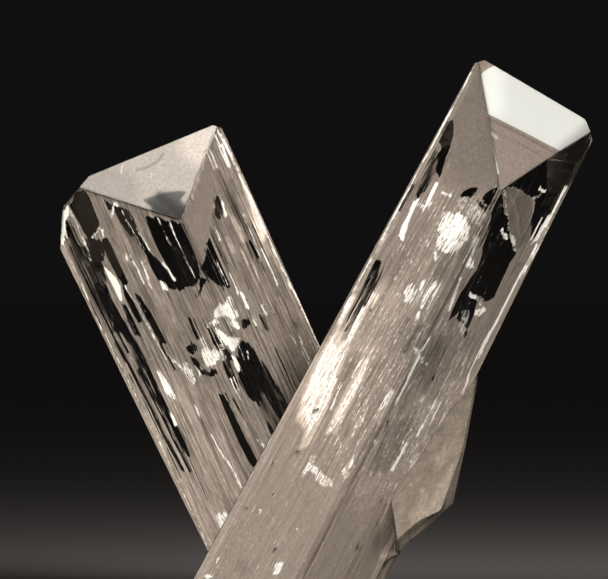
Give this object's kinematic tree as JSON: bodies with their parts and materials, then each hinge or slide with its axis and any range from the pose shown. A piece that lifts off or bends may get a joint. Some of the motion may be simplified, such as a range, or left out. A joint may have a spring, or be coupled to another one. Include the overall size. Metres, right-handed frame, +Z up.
{
  "type": "danburite crystal",
  "caption": "Clear danburite prisms with roof-shaped tips, grown through each other in a V from a milky foot cut off flat.",
  "frame": {"origin": "centre of the flat foot, where the pair was cut off its rock", "axes": "+Z up, from the foot to the tips; -Y to the front, where the right-hand crystal crosses the left one; +X to the right"},
  "size_m": [0.0833, 0.0543, 0.086],
  "materials": {
    "clear_danburite": "glassy crystal faces, colourless with a faint warm tint",
    "healed_fracture": "milky veils and bright flakes of healed fractures"
  },
  "bodies": {
    "root": {"danburite_crystal": "clear_danburite"}
  },
  "joints": []
}
